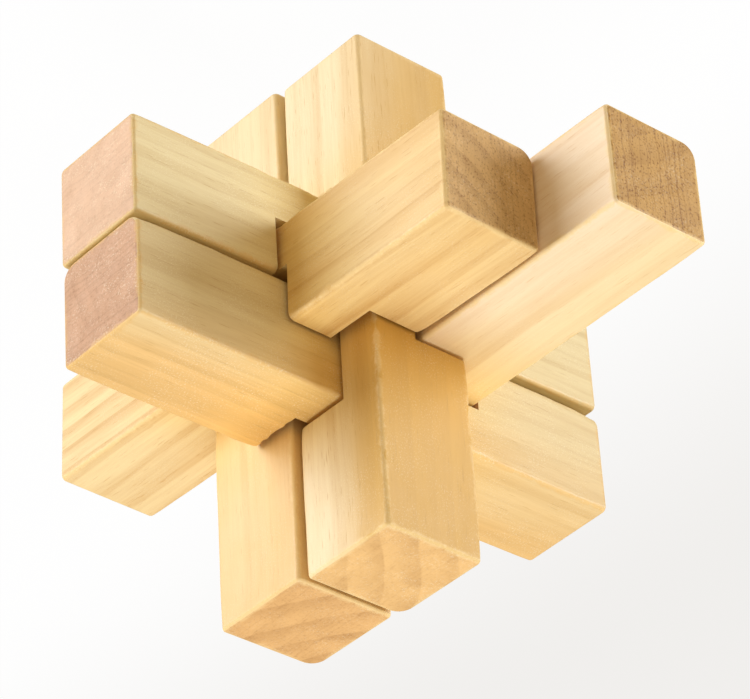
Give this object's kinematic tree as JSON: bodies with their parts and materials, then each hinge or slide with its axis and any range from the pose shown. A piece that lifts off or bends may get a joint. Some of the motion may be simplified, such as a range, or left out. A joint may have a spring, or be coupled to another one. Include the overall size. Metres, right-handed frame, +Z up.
{
  "type": "burr puzzle",
  "caption": "Wooden burr puzzle of square sticks that cross in three pairs and lock through central notches, with a solid key stick that slides out endwise.",
  "frame": {"origin": "on the plane the puzzle stands on, under the middle of its overall box with the key drawn out as at rest", "axes": "+Z up along the upright sticks, X along the cross sticks, Y along the key and its partner; the key comes out towards -Y"},
  "size_m": [0.0752, 0.0878, 0.075],
  "materials": {
    "key_wood": "pale yellow, thin satin lacquer",
    "partner_wood": "pale yellow to tan, thin satin lacquer",
    "lower_cross_wood": "greenish beige, thin satin lacquer",
    "upper_cross_wood": "orange yellow, thin satin lacquer",
    "back_upright_wood": "cream, thin satin lacquer",
    "front_upright_wood": "pale gold, thin satin lacquer"
  },
  "bodies": {
    "locked_sticks": {"front_upright_stick": "front_upright_wood", "back_upright_stick": "back_upright_wood", "lower_cross_stick": "lower_cross_wood", "upper_cross_stick": "upper_cross_wood", "key_partner_stick": "partner_wood"},
    "key": {"key_stick": "key_wood"}
  },
  "joints": [
    {"name": "key_slide", "type": "slide", "parent": "locked_sticks", "child": "key", "axis": [0, -1, 0], "range_m": [-0.0125, 0.065]}
  ]
}
